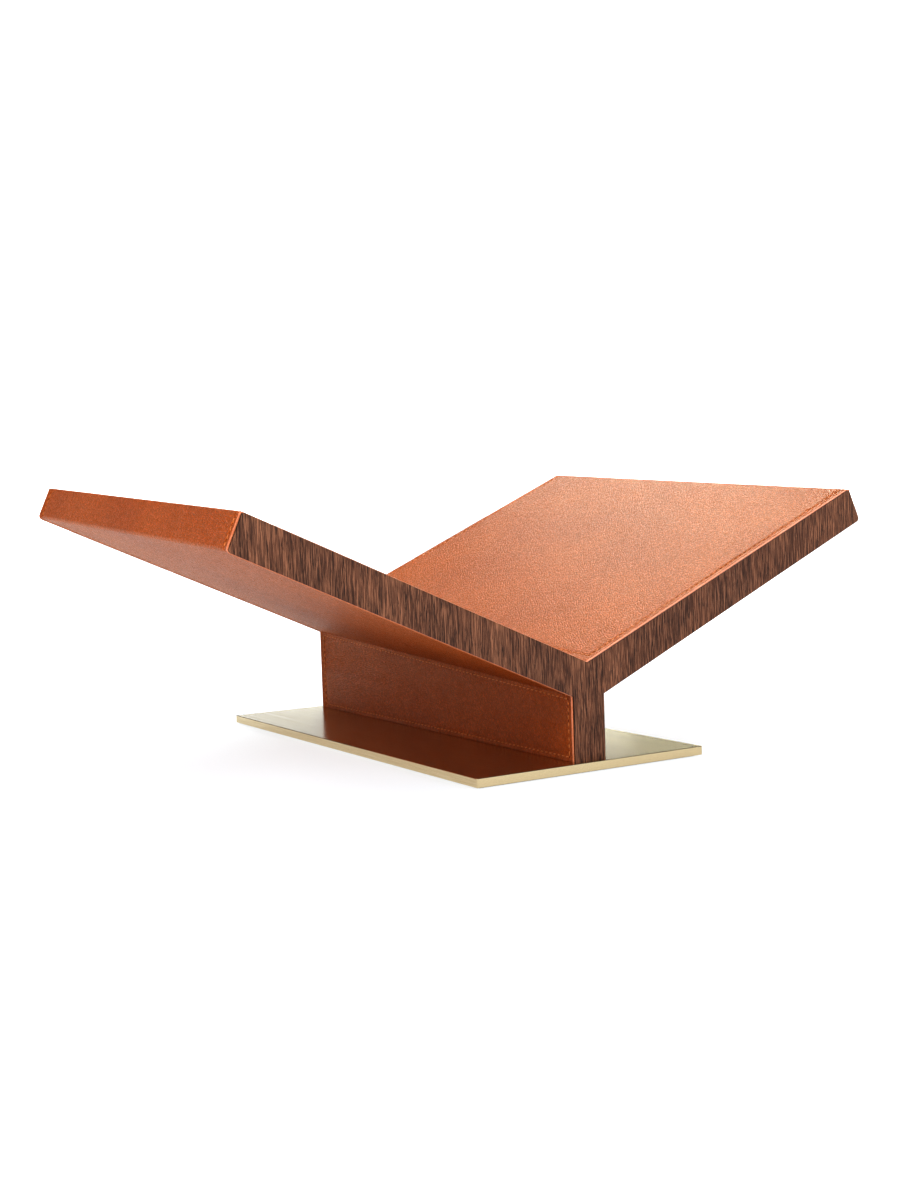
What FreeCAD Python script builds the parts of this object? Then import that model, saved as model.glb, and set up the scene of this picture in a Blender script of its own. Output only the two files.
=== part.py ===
import FreeCAD, Part
import math
import os

# Photo album stand. Two leather-wrapped boards form an open V that carries the album.
# They meet over a leather-wrapped upright, the stem, which is screwed to a brass plate.
# Every cross-section is the same Y, and the V climbs a little from the front to the rear.
#
# Origin: on the table, under the middle of the base plate.
# +X points across the wings, +Y from the front end to the rear end, +Z up. Millimetres.

Vector = FreeCAD.Vector

# Driving dimensions
stand_depth = 370.0        # front end to rear end of the wings and the stem
wing_length = 263.0        # from the valley to the outer edge, up the slope
wing_thickness = 25.0      # over the leather
wing_angle = 24.0          # degrees above the horizontal
climb_angle = 3.3          # degrees by which the valley rises towards the rear
valley_height = 72.2       # valley above the table at the front end
stem_thickness = 25.0      # over the leather
plate_width = 183.0
plate_depth = 379.0
plate_thickness = 6.0
plate_chamfer = 0.3

# Coverings
leather = 1.2              # thickness of the hide
upper_corner = 1.6         # outside radius where the hide turns over the wing's top edge
lower_corner = 2.6         # outside radius where it turns under
lipping = 0.9              # walnut that closes each end, over the core and the leather's ends
lipping_inset = 0.2        # its outline lies this far inside the leather's face
lipping_gap = 0.25         # shadow gap between the walnut and the leather's cut edge
felt_thickness = 1.0
felt_inset = 4.0

# Fasteners
screw_rows = (-120.0, -40.0, 40.0, 120.0)     # plate screws along the stem
screw_radius = 3.0
screw_length = 30.0
head_radius = 6.0
head_height = 3.3
head_sink = 0.2            # head lies this far inside the plate's underside
key_width = 4.0            # hexagon socket, across flats
key_depth = 2.2
plate_hole_radius = 3.3
seat_clearance = 0.2       # countersink in the plate, around the head
insert_radius = 4.5
insert_length = 15.0
insert_bore_radius = 3.05
insert_start = 0.4         # insert lies this far inside the stem's foot
screw_run_out = 12.0       # hole beyond the insert

# Wooden joints
dowel_rows = (-150.0, -50.0, 50.0, 150.0)
dowel_offset = 5.5         # each side of the middle of the stem
dowel_radius = 3.0
dowel_reach = 14.0         # into the stem, and as far into the wing
biscuit_rows = (-100.0, 0.0, 100.0)
biscuit_length = 56.0
biscuit_width = 23.0
biscuit_thickness = 4.0
slot_clearance = 0.15

overshoot = 1.0            # cutters, and shapes that get trimmed, run past by this much

# Worked out
slope = math.radians(wing_angle)
climb = math.tan(math.radians(climb_angle))
half_depth = stand_depth / 2
plate_top = felt_thickness + plate_thickness
stem_half = stem_thickness / 2
stem_core_half = stem_half - leather
core_start = lipping - half_depth
hide_start = core_start + lipping_gap


def rise(y):
    """How much higher the V is at y than at the front end."""
    return (y + half_depth) * climb


def across(up_slope, under):
    """Section point of the right wing: up_slope from the valley, and under its top face."""
    x = up_slope * math.cos(slope) + under * math.sin(slope)
    z = valley_height + up_slope * math.sin(slope) - under * math.cos(slope)
    return x, z


def at_width(x, under):
    """Section point at a given x on the line that lies under the wing's top face."""
    return x, valley_height + x * math.tan(slope) - under / math.cos(slope)


def mirrored(corners):
    return [(-x, z, radius) for x, z, radius in corners]


def rounded_wire(corners, y):
    """Closed outline at y through (x, z, radius) corners, with tangent arcs."""
    count = len(corners)
    points = [Vector(x, y, z) for x, z, radius in corners]
    edges = []
    ends = []
    for i, (x, z, radius) in enumerate(corners):
        before = (points[i - 1] - points[i]).normalize()
        after = (points[(i + 1) % count] - points[i]).normalize()
        if radius == 0:
            ends.append((points[i], points[i]))
            continue
        half_turn = before.getAngle(after) / 2
        setback = radius / math.tan(half_turn)
        start = points[i] + before * setback
        finish = points[i] + after * setback
        bisector = (before + after).normalize()
        centre = points[i] + bisector * (radius / math.sin(half_turn))
        middle = centre - bisector * radius
        edges.append(Part.Arc(start, middle, finish).toShape())
        ends.append((start, finish))
    for i in range(count):
        start = ends[i][1]
        finish = ends[(i + 1) % count][0]
        edges.append(Part.LineSegment(start, finish).toShape())
    return Part.Wire(Part.__sortEdges__(edges))


def climbing_prism(corners, y_start, y_end):
    """Prism of a section given at the front end, between two vertical ends. It climbs."""
    lifted = [(x, z + rise(y_start), radius) for x, z, radius in corners]
    face = Part.Face(rounded_wire(lifted, y_start))
    length = y_end - y_start
    return face.extrude(Vector(0, length, length * climb))


def above_plate(shape):
    """Trims a shape's foot to the top of the base plate."""
    box = shape.BoundBox
    corner = Vector(box.XMin, box.YMin, plate_top)
    return shape.common(Part.makeBox(box.XLength, box.YLength, box.ZLength, corner))


def vertical_rod(radius, x, y, z_low, z_high):
    return Part.makeCylinder(radius, z_high - z_low, Vector(x, y, z_low))


def save(name, shapes):
    """Writes one node. Separate solids that share a node are kept apart."""
    shapes = shapes if isinstance(shapes, list) else [shapes]
    solids = [solid for shape in shapes for solid in shape.Solids]
    node = solids[0] if len(solids) == 1 else Part.makeCompound(solids)
    if not node.isValid():
        raise ValueError(name + " is not a valid solid")
    node.exportStep(os.path.join("parts", name + ".step"))
    print(f"{name}: {len(solids)} solid, {node.Volume / 1000:.1f} cm3")


# Base: felt, brass plate and its screws

def base_felt():
    width = plate_width - 2 * felt_inset
    depth = plate_depth - 2 * felt_inset
    return Part.makeBox(width, depth, felt_thickness, Vector(-width / 2, -depth / 2, 0))


def plate_screw(y):
    """Countersunk screw with a hexagon socket."""
    low = felt_thickness + head_sink
    head = Part.makeCone(head_radius, screw_radius, head_height, Vector(0, y, low))
    shank = vertical_rod(screw_radius, 0, y, low, low + screw_length)
    corner = key_width / math.sqrt(3)
    turns = [math.radians(60 * i) for i in range(7)]
    hexagon = [Vector(corner * math.cos(a), y + corner * math.sin(a), low) for a in turns]
    socket = Part.Face(Part.makePolygon(hexagon)).extrude(Vector(0, 0, key_depth))
    return head.fuse(shank).cut(socket)


def base_plate():
    corner = Vector(-plate_width / 2, -plate_depth / 2, felt_thickness)
    plate = Part.makeBox(plate_width, plate_depth, plate_thickness, corner)
    plate = plate.makeChamfer(plate_chamfer, plate.Edges)
    for y in screw_rows:
        plate = plate.cut(vertical_rod(plate_hole_radius, 0, y, 0, plate_top + overshoot))
        seat = Part.makeCone(head_radius + seat_clearance + head_sink, plate_hole_radius,
                             head_height + head_sink, Vector(0, y, felt_thickness))
        plate = plate.cut(seat)
    return plate


def stem_insert(y):
    low = plate_top + insert_start
    high = low + insert_length
    bore = vertical_rod(insert_bore_radius, 0, y, low - overshoot, high + overshoot)
    return vertical_rod(insert_radius, 0, y, low, high).cut(bore)


# Wooden joints

def dowel_ends(x, y):
    """Height of the wing joint at a dowel."""
    joint = at_width(abs(x), wing_thickness - leather)[1] + rise(y)
    return joint - dowel_reach, joint + dowel_reach


def stem_dowels(extra=0.0):
    rods = []
    for y in dowel_rows:
        for x in (-dowel_offset, dowel_offset):
            low, high = dowel_ends(x, y)
            rods.append(vertical_rod(dowel_radius, x, y, low - extra, high + extra))
    return rods


def mitre_biscuit(y, extra=0.0):
    """Flat lens-shaped key across the joint between the two wings."""
    half_length = biscuit_length / 2 + extra
    half_width = biscuit_width / 2 + extra
    half_thickness = biscuit_thickness / 2 + extra
    tips = Vector(0, -half_length, -half_thickness), Vector(0, half_length, -half_thickness)
    right = Part.Arc(tips[0], Vector(half_width, 0, -half_thickness), tips[1]).toShape()
    left = Part.Arc(tips[1], Vector(-half_width, 0, -half_thickness), tips[0]).toShape()
    key = Part.Face(Part.Wire([right, left])).extrude(Vector(0, 0, 2 * half_thickness))
    key.rotate(Vector(0, 0, 0), Vector(1, 0, 0), climb_angle)
    middle = valley_height - wing_thickness / 2 / math.cos(slope) + rise(y)
    key.translate(Vector(0, y, middle))
    return key


# Wooden core

def right_wing_core():
    inner = wing_thickness - leather
    corners = [
        (*at_width(0, leather), 0),
        (*across(wing_length - leather, leather), upper_corner - leather),
        (*across(wing_length - leather, inner), lower_corner - leather),
        (*at_width(0, inner), 0),
    ]
    core = climbing_prism(corners, core_start, -core_start)
    cutters = stem_dowels(slot_clearance)
    cutters += [mitre_biscuit(y, slot_clearance) for y in biscuit_rows]
    return core.cut(Part.makeCompound(cutters))


def stem_core():
    inner = wing_thickness - leather
    foot = plate_top - rise(half_depth) - overshoot
    corners = [
        (-stem_core_half, foot, 0),
        (stem_core_half, foot, 0),
        (*at_width(stem_core_half, inner), 0),
        (*at_width(0, inner), 0),
        (-stem_core_half, at_width(stem_core_half, inner)[1], 0),
    ]
    core = above_plate(climbing_prism(corners, core_start, -core_start))
    low = plate_top - overshoot
    insert_top = plate_top + insert_start + insert_length
    for y in screw_rows:
        core = core.cut(vertical_rod(insert_radius, 0, y, low, insert_top))
        core = core.cut(vertical_rod(plate_hole_radius, 0, y, low, insert_top + screw_run_out))
    return core.cut(Part.makeCompound(stem_dowels(slot_clearance)))


# Walnut ends

def walnut_end(y_start):
    """Y-shaped walnut lipping, as large as the section over the leather."""
    inner = wing_thickness - lipping_inset
    half = stem_half - lipping_inset
    foot = plate_top - rise(half_depth) - overshoot
    right = [
        (*across(wing_length - lipping_inset, lipping_inset), upper_corner - lipping_inset),
        (*across(wing_length - lipping_inset, inner), lower_corner - lipping_inset),
        (*at_width(half, inner), 0),
        (half, foot, 0),
    ]
    left = list(reversed(mirrored(right)))
    corners = [(*at_width(0, lipping_inset), 0)] + right + left
    return above_plate(climbing_prism(corners, y_start, y_start + lipping))


# Leather

def right_wing_leather():
    """One hide per wing: from the valley, over the outer edge and back to the stem."""
    inner = wing_thickness - leather
    corners = [
        (*at_width(0, 0), 0),
        (*across(wing_length, 0), upper_corner),
        (*across(wing_length, wing_thickness), lower_corner),
        (*at_width(stem_core_half, wing_thickness), 0),
        (*at_width(stem_core_half, inner), 0),
        (*across(wing_length - leather, inner), lower_corner - leather),
        (*across(wing_length - leather, leather), upper_corner - leather),
        (*at_width(0, leather), 0),
    ]
    return climbing_prism(corners, hide_start, -hide_start)


def right_stem_leather():
    foot = plate_top - rise(half_depth) - overshoot
    corners = [
        (stem_core_half, foot, 0),
        (stem_half, foot, 0),
        (*at_width(stem_half, wing_thickness), 0),
        (*at_width(stem_core_half, wing_thickness), 0),
    ]
    return above_plate(climbing_prism(corners, hide_start, -hide_start))


def other_side(shape):
    return shape.mirror(Vector(0, 0, 0), Vector(1, 0, 0))


os.makedirs("parts", exist_ok=True)
save("base_felt", base_felt())
save("base_plate", base_plate())
save("plate_screws", [plate_screw(y) for y in screw_rows])
save("stem_inserts", [stem_insert(y) for y in screw_rows])
save("stem_core", stem_core())
save("stem_dowels", stem_dowels())
save("mitre_biscuits", [mitre_biscuit(y) for y in biscuit_rows])
save("front_walnut_end", walnut_end(-half_depth))
save("rear_walnut_end", walnut_end(half_depth - lipping))
for name, shape in (("wing_core", right_wing_core()),
                    ("wing_leather", right_wing_leather()),
                    ("stem_leather", right_stem_leather())):
    save("right_" + name, shape)
    save("left_" + name, other_side(shape))
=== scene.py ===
import math
import bmesh
import bpy
from mathutils import Matrix, Vector, kdtree, noise


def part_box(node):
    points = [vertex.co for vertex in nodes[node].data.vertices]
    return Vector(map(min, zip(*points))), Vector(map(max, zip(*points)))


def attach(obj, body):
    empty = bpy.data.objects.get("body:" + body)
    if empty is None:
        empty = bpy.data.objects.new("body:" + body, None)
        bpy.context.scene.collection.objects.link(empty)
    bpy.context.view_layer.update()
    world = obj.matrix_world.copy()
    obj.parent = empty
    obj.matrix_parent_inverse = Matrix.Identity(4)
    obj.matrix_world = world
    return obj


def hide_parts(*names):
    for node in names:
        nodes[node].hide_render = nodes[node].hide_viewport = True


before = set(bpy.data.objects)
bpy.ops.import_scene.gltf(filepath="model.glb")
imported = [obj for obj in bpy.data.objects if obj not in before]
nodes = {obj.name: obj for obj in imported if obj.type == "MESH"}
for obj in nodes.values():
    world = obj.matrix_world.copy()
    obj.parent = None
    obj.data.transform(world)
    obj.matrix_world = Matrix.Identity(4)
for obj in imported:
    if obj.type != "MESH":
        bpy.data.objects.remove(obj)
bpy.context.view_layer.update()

mm = 0.001
touch = 0.1 * mm         # how close counts as lying on a face or an edge
bpy.ops.object.select_all(action="DESELECT")

# Shared sizes of the stand, in metres and degrees. Places come from the frame's own boxes.
stand = {
    "wingAngle": 24.0,
    "climbAngle": 3.3,             # the V rises to the rear
    "wingLength": 263 * mm,
    "wingThickness": 25 * mm,
    "hide": 1.2 * mm,
    "upperFold": 1.6 * mm,         # outside radius at the wing's outer top edge
    "lowerFold": 2.6 * mm,
}
slope = math.radians(stand["wingAngle"])
climb = math.tan(math.radians(stand["climbAngle"]))
hideLow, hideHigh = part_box("right_wing_leather")
stemLow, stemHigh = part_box("right_stem_leather")
frontY, rearY = hideLow.y, hideHigh.y
depth = rearY - frontY
valleyRear = stemHigh.z - stemLow.x * math.tan(slope) + stand["wingThickness"] / math.cos(slope)
valleyHeight = valleyRear - depth * climb


# small helpers

def startPiece(name):
    piece = bpy.context.active_object
    piece.name = name
    piece.data.name = name
    return piece


def applyPlace():
    bpy.ops.object.transform_apply(location=True, rotation=True, scale=True)


def selectBy(piece, kind, test):
    # selects the vertices, edges or faces whose middle passes the test
    bpy.ops.mesh.select_mode(type={"verts": "VERT", "edges": "EDGE", "faces": "FACE"}[kind])
    bpy.ops.mesh.select_all(action="DESELECT")
    mesh = bmesh.from_edit_mesh(piece.data)
    for part in getattr(mesh, kind):
        if kind == "verts":
            part.select_set(test(part.co))
        else:
            middle = sum((v.co for v in part.verts), Vector()) / len(part.verts)
            if test(middle, part):
                part.select_set(True)
    bmesh.update_edit_mesh(piece.data)


def cutAt(piece, place, normal, test=None):
    # a loop across the piece, or across the faces that pass the test
    if test is None:
        bpy.ops.mesh.select_all(action="SELECT")
    else:
        selectBy(piece, "faces", test)
    bpy.ops.mesh.bisect(plane_co=place, plane_no=normal, threshold=0.00001)


def divideBetween(piece, axis, low, high, parts, test=lambda middle: True):
    # evenly divides the edges that run along one axis from low to high
    def spans(middle, edge):
        a, b = sorted(v.co[axis] for v in edge.verts)
        return abs(a - low) < 0.02 * mm and abs(b - high) < 0.02 * mm and test(middle)
    selectBy(piece, "edges", spans)
    bpy.ops.mesh.subdivide(number_cuts=parts - 1)


def applyModifier(piece, kind, **settings):
    modifier = piece.modifiers.new(kind.title(), kind)
    for key, value in settings.items():
        setattr(modifier, key, value)
    bpy.context.view_layer.objects.active = piece
    bpy.ops.object.modifier_apply(modifier=modifier.name)


def smoothBump(distance, reach):
    # 1 at the middle, 0 from reach outwards
    t = max(0.0, 1.0 - distance / reach)
    return t * t * (3 - 2 * t)


# materials

def newMaterial(name):
    material = bpy.data.materials.new(name)
    material.use_nodes = True
    tree = material.node_tree
    shader = tree.nodes["Principled BSDF"]
    return material, tree, shader


def addNode(tree, kind, settings=None, inputs=None):
    node = tree.nodes.new(kind)
    for key, value in (settings or {}).items():
        setattr(node, key, value)
    for key, value in (inputs or {}).items():
        node.inputs[key].default_value = value
    return node


def placedOn(tree, scale=(1, 1, 1), turn=(0, 0, 0)):
    # Object coordinates through a Mapping node
    coords = addNode(tree, "ShaderNodeTexCoord")
    mapping = addNode(tree, "ShaderNodeMapping", None, {"Scale": scale, "Rotation": turn})
    tree.links.new(coords.outputs["Object"], mapping.inputs["Vector"])
    return mapping.outputs["Vector"]


def noiseOn(tree, where, scale, detail=4.0, roughness=0.55, distortion=0.0):
    texture = addNode(tree, "ShaderNodeTexNoise", None, {
        "Scale": scale, "Detail": detail, "Roughness": roughness, "Distortion": distortion})
    tree.links.new(where, texture.inputs["Vector"])
    return texture.outputs["Fac"]


def ramp(tree, value, stops):
    node = addNode(tree, "ShaderNodeValToRGB")
    band = node.color_ramp
    while len(band.elements) < len(stops):
        band.elements.new(0.5)
    for element, (place, colour) in zip(band.elements, stops):
        element.position = place
        element.color = (*colour, 1) if len(colour) == 3 else colour
    tree.links.new(value, node.inputs["Fac"])
    return node.outputs["Color"]


def grey(value):
    return (value, value, value)


def mixColour(tree, factor, first, second, how="MIX"):
    node = addNode(tree, "ShaderNodeMix", {"data_type": "RGBA", "blend_type": how})
    sockets = node.inputs["Factor"], node.inputs[6], node.inputs[7]
    for socket, value in zip(sockets, (factor, first, second)):
        if isinstance(value, bpy.types.NodeSocket):
            tree.links.new(value, socket)
        else:
            socket.default_value = value
    return node.outputs[2]


def bumpFrom(tree, shader, height, strength, distance, under=None):
    node = addNode(tree, "ShaderNodeBump", None, {"Strength": strength, "Distance": distance})
    tree.links.new(height, node.inputs["Height"])
    if under:
        tree.links.new(under, node.inputs["Normal"])
    tree.links.new(node.outputs["Normal"], shader.inputs["Normal"])
    return node.outputs["Normal"]


# tan pebbled hide
leatherLook = {
    "deep": (0.480, 0.085, 0.006),
    "warm": (0.575, 0.117, 0.009),
    "pebble": 1.5 * mm,            # size of one grain
    "finePebble": 0.8 * mm,        # the smaller grains between
    "crease": 0.55 * mm,           # depth of the creases between grains
    "roughness": 0.46,
    "roughnessSpread": 0.05,       # from grain to grain
    "gloss": 0.56,
    "glossTint": (0.85, 1.0, 0.48, 1),
    "driftScale": 9.0,             # slow change of tone over the hide
    "wobbleScale": 420.0,          # bends the grain's outlines
    "wobble": 0.0012,
    "foldScale": 60.0,
    "foldDepth": 0.5 * mm,
    "poreDepth": 0.15 * mm,
}


def makeLeather():
    material, tree, shader = newMaterial("saddleLeather")
    look = leatherLook
    where = placedOn(tree)
    drift = noiseOn(tree, where, look["driftScale"], 4.0)
    tone = ramp(tree, drift, [(0.3, look["deep"]), (0.7, look["warm"])])
    wobble = addNode(tree, "ShaderNodeTexNoise", None, {"Scale": look["wobbleScale"], "Detail": 2.0})
    tree.links.new(where, wobble.inputs["Vector"])
    warped = mixColour(tree, look["wobble"], where, wobble.outputs["Color"], "ADD")

    def grains(size, feature):
        cells = addNode(tree, "ShaderNodeTexVoronoi", {"feature": feature}, {"Scale": 1 / size})
        tree.links.new(warped, cells.inputs["Vector"])
        return cells.outputs

    coarse = grains(look["pebble"], "DISTANCE_TO_EDGE")["Distance"]
    each = grains(look["pebble"], "F1")["Color"]
    fine = grains(look["finePebble"], "DISTANCE_TO_EDGE")["Distance"]
    mottle = ramp(tree, each, [(0.2, grey(0.88)), (0.8, grey(1.12))])
    shade = ramp(tree, coarse, [(0.0, grey(0.66)), (0.20, grey(1.0))])
    mottled = mixColour(tree, 1.0, tone, mottle, "MULTIPLY")
    colour = mixColour(tree, 1.0, mottled, shade, "MULTIPLY")
    tree.links.new(colour, shader.inputs["Base Color"])
    dullest = look["roughness"] + look["roughnessSpread"]
    shiniest = look["roughness"] - look["roughnessSpread"]
    rough = ramp(tree, each, [(0.2, grey(dullest)), (0.8, grey(shiniest))])
    tree.links.new(rough, shader.inputs["Roughness"])
    shader.inputs["Specular IOR Level"].default_value = look["gloss"]
    shader.inputs["Specular Tint"].default_value = look["glossTint"]
    folds = noiseOn(tree, where, look["foldScale"], 3.0)
    soft = bumpFrom(tree, shader, folds, 0.2, look["foldDepth"])
    pores = ramp(tree, fine, [(0.0, grey(0.0)), (0.3, grey(1.0))])
    small = bumpFrom(tree, shader, pores, 0.6, look["poreDepth"], soft)
    pebbles = ramp(tree, coarse, [(0.0, grey(0.0)), (0.12, grey(0.55)), (0.45, grey(1.0))])
    bumpFrom(tree, shader, pebbles, 1.0, look["crease"], small)
    return material


def makeCutEdge():
    # the hide's burnished edge: smoother, with fine fibres across, and lighter: a painted highlight
    # along the rounded edge
    material, tree, shader = newMaterial("burnishedEdgePaintedHighlight")
    fibres = noiseOn(tree, placedOn(tree), 900.0, 3.0)
    colour = ramp(tree, fibres, [(0.3, (0.60, 0.190, 0.075)), (0.75, (0.76, 0.300, 0.155))])
    tree.links.new(colour, shader.inputs["Base Color"])
    shader.inputs["Roughness"].default_value = 0.34
    bumpFrom(tree, shader, fibres, 0.3, 0.08 * mm)
    return material


def makeThread():
    # waxed thread
    material, tree, shader = newMaterial("waxedThread")
    strands = noiseOn(tree, placedOn(tree), 1800.0, 2.0)
    colour = ramp(tree, strands, [(0.3, (0.50, 0.15, 0.030)), (0.7, (0.80, 0.33, 0.090))])
    tree.links.new(colour, shader.inputs["Base Color"])
    shader.inputs["Roughness"].default_value = 0.5
    shader.inputs["Sheen Weight"].default_value = 0.2
    bumpFrom(tree, shader, strands, 0.5, 0.08 * mm)
    return material


def makeHolePaintedShade():
    # the inside of an awl hole, nearly black: painted shade
    material, tree, shader = newMaterial("holePaintedShade")
    fibres = noiseOn(tree, placedOn(tree), 1500.0, 2.0)
    colour = ramp(tree, fibres, [(0.3, (0.030, 0.008, 0.003)), (0.7, (0.075, 0.020, 0.006))])
    tree.links.new(colour, shader.inputs["Base Color"])
    shader.inputs["Roughness"].default_value = 0.8
    bumpFrom(tree, shader, fibres, 0.4, 0.05 * mm)
    return material


# walnut with upright grain
walnutLook = {
    "dark": (0.027, 0.009, 0.005),
    "middle": (0.108, 0.041, 0.020),
    "light": (0.345, 0.162, 0.090),
    "pore": (0.016, 0.006, 0.004),
    # broad figure, fine streaks and pores, each drawn out along the upright grain
    "figureScale": 38.0,
    "figureStretch": (1, 1, 0.10),
    "streakScale": 1400.0,
    "streakStretch": (1, 1, 0.036),
    "poreScale": 1900.0,
    "poreStretch": (1, 1, 0.060),
    "streakShare": 0.72,
    "relief": 0.15 * mm,
    "edgePaintedShade": 0.16,             # how dark the lipping's thin edges are painted: painted shade for the dark line between walnut and hide
}


def makeWalnut():
    material, tree, shader = newMaterial("oiledWalnut")
    look = walnutLook
    figure = noiseOn(tree, placedOn(tree, look["figureStretch"]), look["figureScale"], 4.0, 0.6, 0.3)
    streak = noiseOn(tree, placedOn(tree, look["streakStretch"]), look["streakScale"], 4.0, 0.72, 0.5)
    pores = noiseOn(tree, placedOn(tree, look["poreStretch"]), look["poreScale"], 2.0, 0.5, 0.2)
    broad = ramp(tree, figure, [(0.32, look["dark"]), (0.5, look["middle"]), (0.70, look["light"])])
    fine = ramp(tree, streak, [(0.39, look["dark"]), (0.49, look["middle"]), (0.60, look["light"])])
    body = mixColour(tree, look["streakShare"], broad, fine)
    gate = ramp(tree, pores, [(0.34, grey(0.85)), (0.41, grey(0.0))])
    grain = mixColour(tree, gate, body, (*look["pore"], 1))
    # faces that point neither front nor rear are darkened: painted shade along the lipping's thin
    # edges
    facing = addNode(tree, "ShaderNodeNewGeometry")
    split = addNode(tree, "ShaderNodeSeparateXYZ")
    tree.links.new(facing.outputs["True Normal"], split.inputs["Vector"])
    flat = addNode(tree, "ShaderNodeMath", {"operation": "ABSOLUTE"})
    tree.links.new(split.outputs["Y"], flat.inputs[0])
    paintedEdgeShade = ramp(tree, flat.outputs["Value"], [(0.4, grey(look["edgePaintedShade"])), (0.8, grey(1.0))])
    colour = mixColour(tree, 1.0, grain, paintedEdgeShade, "MULTIPLY")
    tree.links.new(colour, shader.inputs["Base Color"])
    rough = ramp(tree, streak, [(0.3, grey(0.62)), (0.7, grey(0.48))])
    tree.links.new(rough, shader.inputs["Roughness"])
    shader.inputs["Specular IOR Level"].default_value = 0.3
    first = bumpFrom(tree, shader, streak, 0.3, look["relief"])
    height = ramp(tree, pores, [(0.36, grey(0.0)), (0.42, grey(1.0))])
    bumpFrom(tree, shader, height, 0.7, look["relief"], first)
    return material


# satin brass, brushed front to rear
brassLook = {
    "light": (0.72, 0.60, 0.40),
    "dark": (0.59, 0.47, 0.28),
    "roughness": 0.22,
    "lineScale": 2600.0,
    "lineStretch": (1, 0.012, 1),
    "bandScale": 260.0,
    "bandStretch": (1, 0.02, 1),
}


def makeBrass():
    material, tree, shader = newMaterial("brushedBrass")
    look = brassLook
    lines = noiseOn(tree, placedOn(tree, look["lineStretch"]), look["lineScale"], 3.0, 0.6)
    bands = noiseOn(tree, placedOn(tree, look["bandStretch"]), look["bandScale"], 3.0, 0.6)
    colour = ramp(tree, lines, [(0.3, look["dark"]), (0.7, look["light"])])
    tree.links.new(colour, shader.inputs["Base Color"])
    shader.inputs["Metallic"].default_value = 1.0
    middle = look["roughness"]
    rough = ramp(tree, bands, [(0.3, grey(middle - 0.02)), (0.7, grey(middle + 0.03))])
    tree.links.new(rough, shader.inputs["Roughness"])
    bumpFrom(tree, shader, lines, 0.10, 0.02 * mm)
    return material


def makePlainWood(name, dark, light, stretch):
    material, tree, shader = newMaterial(name)
    grain = noiseOn(tree, placedOn(tree, stretch), 240.0, 4.0)
    colour = ramp(tree, grain, [(0.3, dark), (0.7, light)])
    tree.links.new(colour, shader.inputs["Base Color"])
    shader.inputs["Roughness"].default_value = 0.62
    bumpFrom(tree, shader, grain, 0.3, 0.1 * mm)
    return material


def makeSteel():
    material, tree, shader = newMaterial("zincSteel")
    spangle = noiseOn(tree, placedOn(tree), 900.0, 3.0)
    colour = ramp(tree, spangle, [(0.3, (0.42, 0.42, 0.44)), (0.7, (0.62, 0.62, 0.64))])
    tree.links.new(colour, shader.inputs["Base Color"])
    shader.inputs["Metallic"].default_value = 1.0
    shader.inputs["Roughness"].default_value = 0.32
    bumpFrom(tree, shader, spangle, 0.15, 0.03 * mm)
    return material


def makeFelt():
    material, tree, shader = newMaterial("pressedFelt")
    fibres = noiseOn(tree, placedOn(tree), 1300.0, 5.0, 0.7, 0.6)
    colour = ramp(tree, fibres, [(0.3, grey(0.018)), (0.75, grey(0.075))])
    tree.links.new(colour, shader.inputs["Base Color"])
    shader.inputs["Roughness"].default_value = 0.95
    shader.inputs["Sheen Weight"].default_value = 0.4
    bumpFrom(tree, shader, fibres, 0.8, 0.3 * mm)
    return material


saddleLeather = makeLeather()
burnishedEdgePaintedHighlight = makeCutEdge()
waxedThread = makeThread()
holePaintedShade = makeHolePaintedShade()
oiledWalnut = makeWalnut()
brushedBrass = makeBrass()
coreBoard = makePlainWood("birchBoard", (0.46, 0.30, 0.16), (0.62, 0.44, 0.26), (1, 0.05, 1))
beech = makePlainWood("beech", (0.44, 0.24, 0.12), (0.60, 0.37, 0.20), (1, 1, 0.06))
zincSteel = makeSteel()
pressedFelt = makeFelt()
print("materials made")

finishes = {
    "base_felt": pressedFelt,
    "base_plate": brushedBrass,
    "plate_screws": zincSteel,
    "stem_inserts": brushedBrass,
    "stem_core": coreBoard,
    "left_wing_core": coreBoard,
    "right_wing_core": coreBoard,
    "stem_dowels": beech,
    "mitre_biscuits": beech,
    "front_walnut_end": oiledWalnut,
    "rear_walnut_end": oiledWalnut,
}
for name, material in finishes.items():
    nodes[name].data.materials.clear()
    nodes[name].data.materials.append(material)
print("CAD pieces finished")


# hides

seam = {
    "fromEnd": 6.1 * mm,           # stitch row to the front or rear edge of a wing's hide
    "fromValley": 6.5 * mm,
    "pitch": 4.9 * mm,
    "groove": 0.34 * mm,           # how far the row is pulled down
    "grooveReach": 1.7 * mm,
    "pit": 0.30 * mm,              # extra dip at each hole
    "pitReach": 1.3 * mm,
    "waves": 0.07 * mm,            # slow unevenness of the hide
    "waveLength": 55 * mm,
    "roll": 0.36 * mm,             # the upper face is skived down towards its front and rear edge
    "bead": 0.75 * mm,             # the other faces stand proud there, as a turned edge does
    "rollReach": 3.6 * mm,
    "rim": 1.3 * mm,               # width of the burnished band along the front edge, painted lighter as a highlight
    "edgeRound": 0.30 * mm,        # rounding of the cut edge
    "foldSteps": 5,                # faces round each fold over the wing's outer edge
}
endLoops = [mm * v for v in (0.6, 1.3, 2.4, 3.8, 4.7, 5.4, 6.1, 6.8, 7.5, 9.2, 14.0, 25.0)]
valleyLoops = [mm * v for v in (0.7, 1.8, 3.6, 5.0, 5.8)]
innerLoops = 11


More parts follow.
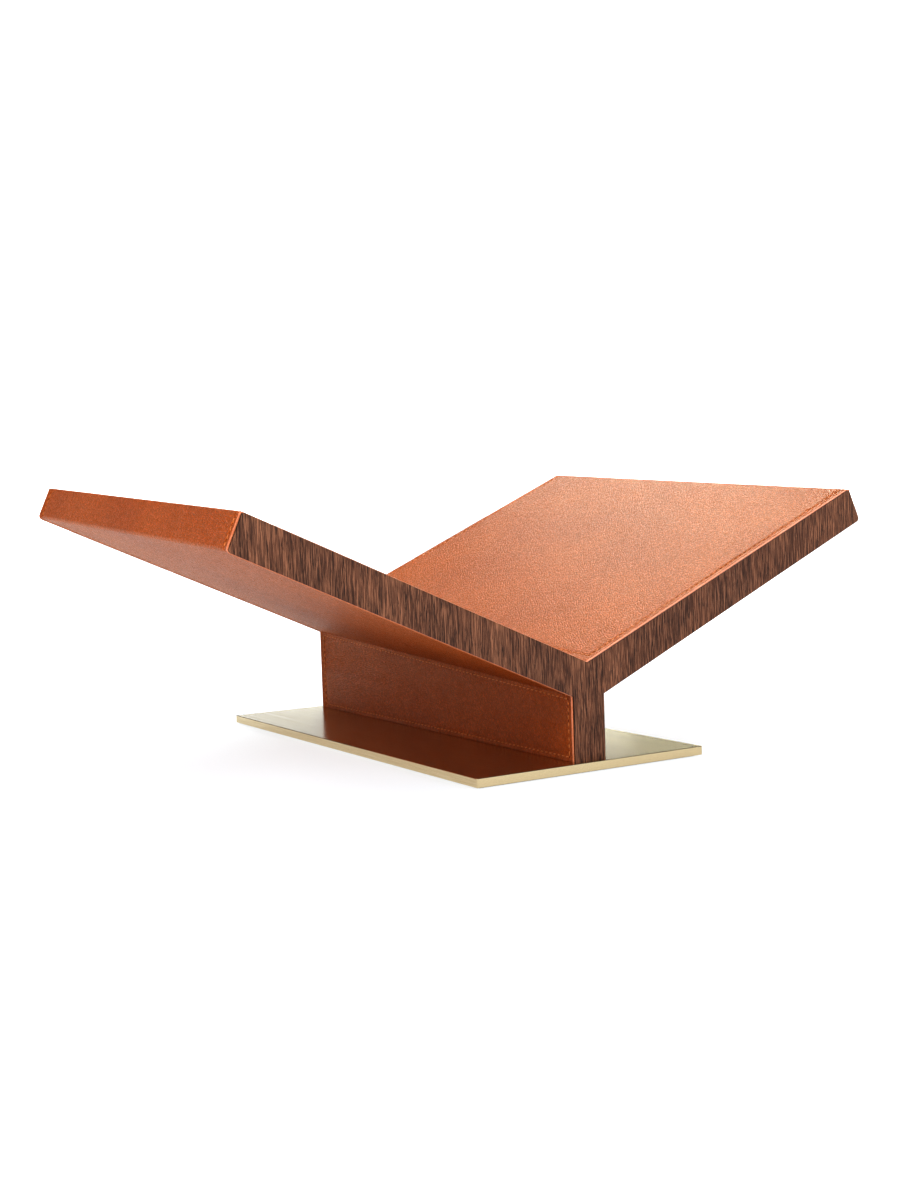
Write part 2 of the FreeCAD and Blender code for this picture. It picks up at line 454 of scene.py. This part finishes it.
def wingOutline(s):
    # flat section of a wrapped wing: place and outward direction at distance s from the valley
    length, thick = stand["wingLength"], stand["wingThickness"]
    upper, lower = stand["upperFold"], stand["lowerFold"]
    topRun = length - upper
    faceRun = thick - upper - lower
    if s < topRun:
        return Vector((s, 0, 0)), Vector((0, 0, 1))
    s -= topRun
    if s < upper * math.pi / 2:
        out = Vector((math.sin(s / upper), 0, math.cos(s / upper)))
        return Vector((topRun, 0, -upper)) + out * upper, out
    s -= upper * math.pi / 2
    if s < faceRun:
        return Vector((length, 0, -upper - s)), Vector((1, 0, 0))
    s -= faceRun
    if s < lower * math.pi / 2:
        out = Vector((math.cos(s / lower), 0, -math.sin(s / lower)))
        return Vector((length - lower, 0, lower - thick)) + out * lower, out
    s -= lower * math.pi / 2
    return Vector((length - lower - s, 0, -thick)), Vector((0, 0, -1))


def wingEnd():
    # where the hide's underside meets the stem, in the flat section
    thick = stand["wingThickness"]
    return (stemLow.x - thick * math.sin(slope)) / math.cos(slope)


def wingRun():
    upper, lower = stand["upperFold"], stand["lowerFold"]
    folds = (upper + lower) * math.pi / 2
    flats = 2 * stand["wingLength"] + stand["wingThickness"] - 2 * (upper + lower) - wingEnd()
    return folds + flats


def wingPlace(side):
    # lays the flat wing at its slope, in the valley, with the climb to the rear
    lean = Matrix.Rotation(-side * slope, 4, "Y")
    lift = Matrix.Translation((0, 0, valleyHeight))
    rise = Matrix.Identity(4)
    rise[2][1] = climb
    rise[2][3] = -frontY * climb
    return rise @ lift @ lean


def wingSeamRows(side):
    # three rows of holes, each hole as (place, outward, along), in the flat section
    def hole(s, y, ahead):
        place, out = wingOutline(s)
        later = wingOutline(s + 0.2 * mm)[0]
        along = (later - place).normalized() if ahead is None else ahead
        flip = Vector((side, 1, 1))
        return Vector((place.x * side, y, place.z)), out * flip, along * flip
    rows = []
    count = int((wingRun() - seam["fromValley"] - 2.5 * mm) / seam["pitch"])
    for y in (frontY + seam["fromEnd"], rearY - seam["fromEnd"]):
        rows.append([hole(seam["fromValley"] + i * seam["pitch"], y, None)
                     for i in range(count + 1)])
    reach = depth - 2 * seam["fromEnd"]
    steps = round(reach / seam["pitch"])
    start = frontY + seam["fromEnd"]
    rows.append([hole(seam["fromValley"], start + reach * i / steps, Vector((0, 1, 0)))
                 for i in range(steps + 1)])
    return rows


def pressSeams(piece, rows):
    # pulls the hide down along each row, with a pit at each hole, and adds slow waves
    holes = [hole[0] for row in rows for hole in row]
    line = [a[0].lerp(b[0], t / 6) for row in rows for a, b in zip(row, row[1:]) for t in range(6)]
    trees = []
    for points in (holes, line):
        tree = kdtree.KDTree(len(points))
        for i, point in enumerate(points):
            tree.insert(point, i)
        tree.balance()
        trees.append(tree)
    mesh = bmesh.new()
    mesh.from_mesh(piece.data)
    mesh.normal_update()
    moves = []
    for v in mesh.verts:
        toHole = trees[0].find(v.co)[2]
        toLine = trees[1].find(v.co)[2]
        dip = seam["groove"] * smoothBump(toLine, seam["grooveReach"])
        dip += seam["pit"] * smoothBump(toHole, seam["pitReach"])
        toEdge = min(v.co.y - frontY, rearY - v.co.y)
        if v.normal.z > 0.5:
            dip += seam["roll"] * max(0.0, 1 - toEdge / seam["rollReach"]) ** 2
        else:
            dip -= seam["bead"] * smoothBump(toEdge, seam["rollReach"])
        wave = seam["waves"] * noise.noise(v.co / seam["waveLength"])
        moves.append(v.normal * (wave - dip))
    for v, move in zip(mesh.verts, moves):
        v.co += move
    mesh.to_mesh(piece.data)
    mesh.free()


def thicken(piece):
    # the cut edge all round takes the burnished edge material, with its painted highlight
    applyModifier(piece, "SOLIDIFY", thickness=stand["hide"], offset=-1.0, use_even_offset=True,
                  material_offset_rim=1)
    applyModifier(piece, "BEVEL", width=seam["edgeRound"], segments=3, limit_method="ANGLE",
                  angle_limit=math.radians(50))
    piece.select_set(True)
    bpy.ops.object.shade_smooth_by_angle(angle=math.radians(40))


def dressHide(piece, cadNode):
    piece.data.materials.append(saddleLeather)
    piece.data.materials.append(burnishedEdgePaintedHighlight)
    bpy.ops.object.mode_set(mode="EDIT")
    # the band along the front edge takes the burnished edge material, painted lighter as a highlight
    selectBy(piece, "faces", lambda m, f: m.y < frontY + seam["rim"] * 1.05)
    piece.active_material_index = 1
    bpy.ops.object.material_slot_assign()
    bpy.ops.object.mode_set(mode="OBJECT")
    thicken(piece)
    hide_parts(cadNode)
    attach(piece, "root")


def faceOut(piece, reference):
    # turns an open hide's faces so that the one nearest the reference points with it
    bpy.ops.mesh.select_all(action="SELECT")
    bpy.ops.mesh.normals_make_consistent(inside=False)
    mesh = bmesh.from_edit_mesh(piece.data)
    mesh.normal_update()
    place, out = reference
    nearest = min(mesh.faces, key=lambda f: (f.calc_center_median() - place).length)
    if nearest.normal.dot(out) < 0:
        bpy.ops.mesh.flip_normals()


def makeWingHide(name, side, cadNode):
    length, thick = stand["wingLength"], stand["wingThickness"]
    upper, lower = stand["upperFold"], stand["lowerFold"]
    bpy.ops.object.select_all(action="DESELECT")
    bpy.ops.mesh.primitive_plane_add(size=1, location=(side * length / 2, 0, 0))
    piece = startPiece(name)
    piece.scale = (length, depth, 1)
    applyPlace()
    bpy.ops.object.mode_set(mode="EDIT")
    # over the outer edge, down, and back under to the stem
    selectBy(piece, "edges", lambda m, e: abs(m.x) > length - mm)
    bpy.ops.mesh.extrude_region_move(TRANSFORM_OT_translate={"value": (0, 0, -thick)})
    back = side * (wingEnd() - length)
    bpy.ops.mesh.extrude_region_move(TRANSFORM_OT_translate={"value": (back, 0, 0)})
    for radius, height in ((upper, 0.0), (lower, -thick)):
        selectBy(piece, "edges",
                 lambda m, e: abs(m.x) > length - touch and abs(m.z - height) < touch)
        bpy.ops.mesh.bevel(offset=radius, segments=seam["foldSteps"], profile=0.5, affect="EDGES")
    # loops along the ends and the valley
    for loop in endLoops:
        cutAt(piece, (0, frontY + loop, 0), (0, 1, 0))
        cutAt(piece, (0, rearY - loop, 0), (0, 1, 0))
    inner = depth - 2 * endLoops[-1]
    divideBetween(piece, 1, -inner / 2, inner / 2, innerLoops)
    onTop = lambda m, f=None: m.z > -touch
    onUnder = lambda m, f=None: m.z < touch - thick
    onFace = lambda m, f=None: abs(m.x) > length - touch
    for loop in valleyLoops + [seam["fromValley"], seam["fromValley"] + 1.2 * mm]:
        cutAt(piece, (side * loop, 0, 0), (1, 0, 0), onTop)
    # loops at every hole and half way between
    half = seam["pitch"] / 2
    topRun = length - upper
    first = seam["fromValley"] + half
    steps = int((topRun - first) / half)
    cutAt(piece, (side * first, 0, 0), (1, 0, 0), onTop)
    cutAt(piece, (side * (first + steps * half), 0, 0), (1, 0, 0), onTop)
    ends = sorted((side * first, side * (first + steps * half)))
    divideBetween(piece, 0, ends[0], ends[1], steps, onTop)
    faceStart = topRun + upper * math.pi / 2
    faceEnd = faceStart + thick - upper - lower
    underStart = faceEnd + lower * math.pi / 2
    at = first + steps * half
    underHoles = []
    while at < wingRun() - 1.5 * mm:
        if faceStart + 0.3 * mm < at < faceEnd - 0.3 * mm:
            cutAt(piece, (0, 0, wingOutline(at)[0].z), (0, 0, 1), onFace)
        if at > underStart + 0.3 * mm:
            underHoles.append(wingOutline(at)[0].x)
        at += half
    far, near = side * underHoles[0], side * underHoles[-1]
    cutAt(piece, (far, 0, 0), (1, 0, 0), onUnder)
    cutAt(piece, (near, 0, 0), (1, 0, 0), onUnder)
    divideBetween(piece, 0, min(far, near), max(far, near), len(underHoles) - 1, onUnder)
    faceOut(piece, (Vector((side * length / 2, 0, 0)), Vector((0, 0, 1))))
    bpy.ops.object.mode_set(mode="OBJECT")
    pressSeams(piece, wingSeamRows(side))
    piece.data.transform(wingPlace(side))
    piece.data.update()
    dressHide(piece, cadNode)
    return piece


stemSeam = {
    "fromEnd": 5.3 * mm,
    "fromFoot": 3.0 * mm,
    "fromTop": 2.8 * mm,
    "alongStitches": 73,
    "frontStitches": 8,
    "rearStitches": 12,
    "footLoops": (0.6, 1.3, 2.2, 3.0, 3.9, 5.4),      # mm from each edge
    "topLoops": (0.6, 1.2, 2.0, 2.8, 3.7, 5.2),
    "endLoops": (0.6, 1.3, 2.4, 3.6, 4.5),
}


def stemTop(y):
    # height of the stem hide's top edge
    x = stemHigh.x
    front = valleyHeight + x * math.tan(slope) - stand["wingThickness"] / math.cos(slope)
    return front + (y - frontY) * climb


def stemSeamRows(side):
    x = side * stemHigh.x
    out = Vector((side, 0, 0))
    low = stemLow.z + stemSeam["fromFoot"]
    y1, y2 = frontY + stemSeam["fromEnd"], rearY - stemSeam["fromEnd"]
    highFront = stemTop(y1) - stemSeam["fromTop"]
    highRear = stemTop(y2) - stemSeam["fromTop"]

    def row(a, b, count):
        along = (b - a).normalized()
        return [(a.lerp(b, i / count), out, along) for i in range(count + 1)]

    corners = [Vector((x, y1, low)), Vector((x, y2, low)),
               Vector((x, y2, highRear)), Vector((x, y1, highFront))]
    return [row(corners[0], corners[1], stemSeam["alongStitches"]),
            row(corners[1], corners[2], stemSeam["rearStitches"]),
            row(corners[3], corners[2], stemSeam["alongStitches"]),
            row(corners[0], corners[3], stemSeam["frontStitches"])]


def makeStemHide(name, side, cadNode):
    foot = stemLow.z
    x = side * stemHigh.x
    bpy.ops.object.select_all(action="DESELECT")
    bpy.ops.mesh.primitive_plane_add(size=1, location=(x, 0, foot + 0.5), rotation=(0, math.pi / 2, 0))
    piece = startPiece(name)
    piece.scale = (1, depth, 1)
    applyPlace()
    for v in piece.data.vertices:      # the top edge climbs with the wings
        if v.co.z > foot + 0.5:
            v.co.z = stemTop(v.co.y)
    bpy.ops.object.mode_set(mode="EDIT")
    upright = Vector((0, -climb, 1)).normalized()
    for loop in stemSeam["footLoops"]:
        cutAt(piece, (x, 0, foot + loop * mm), (0, 0, 1))
    for loop in stemSeam["topLoops"]:
        cutAt(piece, (x, frontY, stemTop(frontY) - loop * mm), upright)
    divisions = 3 * stemSeam["frontStitches"] - 3
    tall = lambda m, e: abs(e.verts[0].co.z - e.verts[1].co.z) > 10 * mm
    selectBy(piece, "edges", tall)
    bpy.ops.mesh.subdivide(number_cuts=divisions - 1)
    for loop in stemSeam["endLoops"]:
        cutAt(piece, (x, frontY + loop * mm, 0), (0, 1, 0))
        cutAt(piece, (x, rearY - loop * mm, 0), (0, 1, 0))
    y1, y2 = frontY + stemSeam["fromEnd"], rearY - stemSeam["fromEnd"]
    cutAt(piece, (x, y1, 0), (0, 1, 0))
    cutAt(piece, (x, y2, 0), (0, 1, 0))
    divideBetween(piece, 1, y1, y2, 2 * stemSeam["alongStitches"])
    faceOut(piece, (Vector((x, 0, foot + 20 * mm)), Vector((side, 0, 0))))
    bpy.ops.object.mode_set(mode="OBJECT")
    pressSeams(piece, stemSeamRows(side))
    dressHide(piece, cadNode)
    return piece


sides = (("left", -1), ("right", 1))
for word, side in sides:
    makeWingHide(word + "WingHide", side, word + "_wing_leather")
    print(word, "wing hide made")
    makeStemHide(word + "StemHide", side, word + "_stem_leather")
    print(word, "stem hide made")


# stitches

stitch = {
    "width": 0.85 * mm,
    "height": 0.62 * mm,
    "share": 0.69,                 # share of the pitch that a stitch spans
    "hole": 0.78 * mm,             # radius of an awl hole
    "holeDepth": 0.5 * mm,
    "slant": 7.0,                  # degrees
    "proud": -0.12 * mm,           # middle of the thread against the hide's untouched face
    "endDrop": 0.55 * mm,
    "holeProud": -0.36 * mm,
}


def makeStitch():
    # one pulled stitch: a grain of thread whose ends dive into the holes
    bpy.ops.object.select_all(action="DESELECT")
    bpy.ops.mesh.primitive_uv_sphere_add(segments=8, ring_count=8, radius=0.5,
                                         rotation=(0, math.pi / 2, 0))
    piece = startPiece("stitch")
    piece.scale = (stitch["height"], stitch["width"], seam["pitch"] * stitch["share"])
    applyPlace()
    bpy.ops.object.mode_set(mode="EDIT")
    half = seam["pitch"] * stitch["share"] / 2
    for share, drop in ((0.60, 0.25), (0.88, 0.75)):
        selectBy(piece, "verts", lambda co: abs(co.x) > share * half)
        bpy.ops.transform.translate(value=(0, 0, -drop * stitch["endDrop"]))
    bpy.ops.object.mode_set(mode="OBJECT")
    return piece


def makeHole():
    # one awl hole: a small dark funnel with a soft rim; its dark is painted shade
    bpy.ops.object.select_all(action="DESELECT")
    bpy.ops.mesh.primitive_circle_add(vertices=8, radius=stitch["hole"], fill_type="NGON")
    piece = startPiece("hole")
    piece.scale = (1.25, 0.85, 1)
    applyPlace()
    bpy.ops.object.mode_set(mode="EDIT")
    bpy.ops.mesh.inset(thickness=stitch["hole"] * 0.35, depth=0)
    bpy.ops.transform.translate(value=(0, 0, -stitch["holeDepth"]))
    bpy.ops.object.mode_set(mode="OBJECT")
    return piece


def copyOnto(pattern, shape):
    copy = pattern.copy()
    copy.data = pattern.data.copy()
    copy.data.transform(shape)
    bpy.context.scene.collection.objects.link(copy)
    return copy


def joinAs(name, copies, material):
    bpy.ops.object.select_all(action="DESELECT")
    for copy in copies:
        copy.select_set(True)
    bpy.context.view_layer.objects.active = copies[0]
    bpy.ops.object.join()
    piece = startPiece(name)
    piece.data.materials.clear()
    piece.data.materials.append(material)
    bpy.ops.object.shade_smooth()
    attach(piece, "root")
    return piece


def rowFrame(out, along):
    along = along.normalized()
    out = (out - along * out.dot(along)).normalized()
    return Matrix((along, out.cross(along), out)).transposed().to_4x4()


def sewRow(name, row, place):
    # a stitch between each two holes, and the hole that each two stitches share
    threads, awlHoles = [], []
    turn = place.to_3x3()
    slant = Matrix.Rotation(math.radians(stitch["slant"]), 4, "Z")
    for a, b in zip(row, row[1:]):
        first, last = place @ a[0], place @ b[0]
        frameHere = rowFrame(turn @ (a[1] + b[1]), last - first)
        length = (last - first).length / seam["pitch"]
        out = frameHere.col[2].to_3d()
        centre = (first + last) / 2 + out * stitch["proud"]
        threads.append(copyOnto(stitchPattern, Matrix.Translation(centre) @ frameHere @ slant
                                @ Matrix.Diagonal((length, 1, 1, 1))))
    for a in row:
        frameHere = rowFrame(turn @ a[1], turn @ a[2])
        centre = place @ a[0] + frameHere.col[2].to_3d() * stitch["holeProud"]
        awlHoles.append(copyOnto(holePattern, Matrix.Translation(centre) @ frameHere))
    joinAs(name, threads, waxedThread)
    joinAs(name.replace("Stitches", "Holes"), awlHoles, holePaintedShade)


stitchPattern = makeStitch()
holePattern = makeHole()
for word, side in sides:
    rows = wingSeamRows(side)
    for rowName, row in zip(("Front", "Rear", "Valley"), rows):
        sewRow(word + "Wing" + rowName + "Stitches", row, wingPlace(side))
    for rowName, row in zip(("Foot", "Rear", "Top", "Front"), stemSeamRows(side)):
        sewRow(word + "Stem" + rowName + "Stitches", row, Matrix.Identity(4))
bpy.data.objects.remove(stitchPattern)
bpy.data.objects.remove(holePattern)
print("stitches sewn")


# studio

def softBox(name, place, aim, size, power, colour=(1, 1, 1)):
    light = bpy.data.lights.new(name, "AREA")
    light.shape = "RECTANGLE"
    light.size, light.size_y = size
    light.energy = power
    light.color = colour
    lamp = bpy.data.objects.new(name, light)
    lamp.location = place
    lamp.rotation_euler = (Vector(aim) - Vector(place)).to_track_quat("-Z", "Y").to_euler()
    lamp.visible_camera = False
    bpy.context.scene.collection.objects.link(lamp)
    return lamp


studio = {
    "floorSize": 24.0,
    "floorColour": (0.25, 0.30, 0.35, 1),
    "nearGlow": 0.56,              # the floor's own light under the stand and far from it
    "farGlow": 0.95,
    "glowStart": 0.15,
    "glowEnd": 0.75,
    "air": 0.13,                   # even light from all round
    "exposure": 0.45,
    "gamma": 0.75,
}
bpy.ops.object.select_all(action="DESELECT")
bpy.ops.mesh.primitive_circle_add(vertices=96, radius=studio["floorSize"] / 2, fill_type="NGON")
floor = startPiece("studioFloor")
floorMaterial, floorTree, floorShader = newMaterial("paleFloor")
floorShader.inputs["Base Color"].default_value = studio["floorColour"]
floorShader.inputs["Roughness"].default_value = 0.7
floorShader.inputs["Specular IOR Level"].default_value = 0.2
floorShader.inputs["Emission Color"].default_value = (1, 1, 1, 1)
spread = addNode(floorTree, "ShaderNodeVectorMath", {"operation": "LENGTH"})
floorTree.links.new(placedOn(floorTree), spread.inputs[0])
fade = addNode(floorTree, "ShaderNodeMapRange", {"interpolation_type": "SMOOTHSTEP"}, {
    "From Min": studio["glowStart"], "From Max": studio["glowEnd"],
    "To Min": studio["nearGlow"], "To Max": studio["farGlow"]})
floorTree.links.new(spread.outputs["Value"], fade.inputs["Value"])
floorTree.links.new(fade.outputs["Result"], floorShader.inputs["Emission Strength"])
floor.data.materials.append(floorMaterial)

bpy.ops.object.select_all(action="DESELECT")
bpy.ops.mesh.primitive_uv_sphere_add(segments=48, ring_count=24, radius=studio["floorSize"] / 2)
backdrop = startPiece("whiteBackdrop")
backdropMaterial, _, backdropShader = newMaterial("backdropWhite")
backdropShader.inputs["Base Color"].default_value = (1, 1, 1, 1)
backdropShader.inputs["Emission Color"].default_value = (1, 1, 1, 1)
backdropShader.inputs["Emission Strength"].default_value = 1.0
backdrop.data.materials.append(backdropMaterial)
for ray in ("diffuse", "glossy", "transmission", "volume_scatter", "shadow"):
    setattr(backdrop, "visible_" + ray, False)

world = bpy.data.worlds.new("studioAir")
bpy.context.scene.world = world
world.use_nodes = True
world.node_tree.nodes["Background"].inputs["Color"].default_value = (1, 1, 1, 1)
world.node_tree.nodes["Background"].inputs["Strength"].default_value = studio["air"]

# each light's name, place, aim, size, power in watts and colour
middle = (0, 0, 0.1)
softBox("overheadBox", (0.3, 0.5, 1.7), middle, (1.6, 1.4), 23.5)
softBox("rearBox", (1.35, 1.75, 1.2), (0.15, 0.1, 0.1), (0.9, 0.6), 13, (0.91, 1.0, 0.93))
softBox("leftBox", (-1.3, -0.4, 1.2), middle, (1.0, 1.0), 12.5)
softBox("frontBox", (0.8, -1.9, 0.9), middle, (1.2, 1.0), 19)
softBox("lowBox", (-0.9, -1.6, 0.36), (0, -0.1, 0.03), (0.7, 0.4), 6, (1.0, 0.86, 0.70))
softBox("rearCard", (0.3, 3.2, 0.25), middle, (4.4, 0.5), 11, (0.90, 0.95, 1.0))

shot = {
    "place": (-0.5885, -0.9893, 0.1833),
    "azimuth": 31.063,             # degrees to the right of straight ahead
    "tilt": -3.865,
    "roll": -1.930,
    "lens": 45.62,
    "sensor": 36,
}
cameraData = bpy.data.cameras.new("shotCamera")
cameraData.lens = shot["lens"]
cameraData.sensor_width = shot["sensor"]
camera = bpy.data.objects.new("shotCamera", cameraData)
bpy.context.scene.collection.objects.link(camera)
camera.matrix_world = (Matrix.Translation(shot["place"])
                       @ Matrix.Rotation(math.radians(-shot["azimuth"]), 4, "Z")
                       @ Matrix.Rotation(math.radians(90 + shot["tilt"]), 4, "X")
                       @ Matrix.Rotation(math.radians(shot["roll"]), 4, "Z"))
bpy.context.scene.camera = camera
viewing = bpy.context.scene.view_settings
viewing.view_transform = "Standard"
viewing.exposure = studio["exposure"]
viewing.gamma = studio["gamma"]
print("studio set")
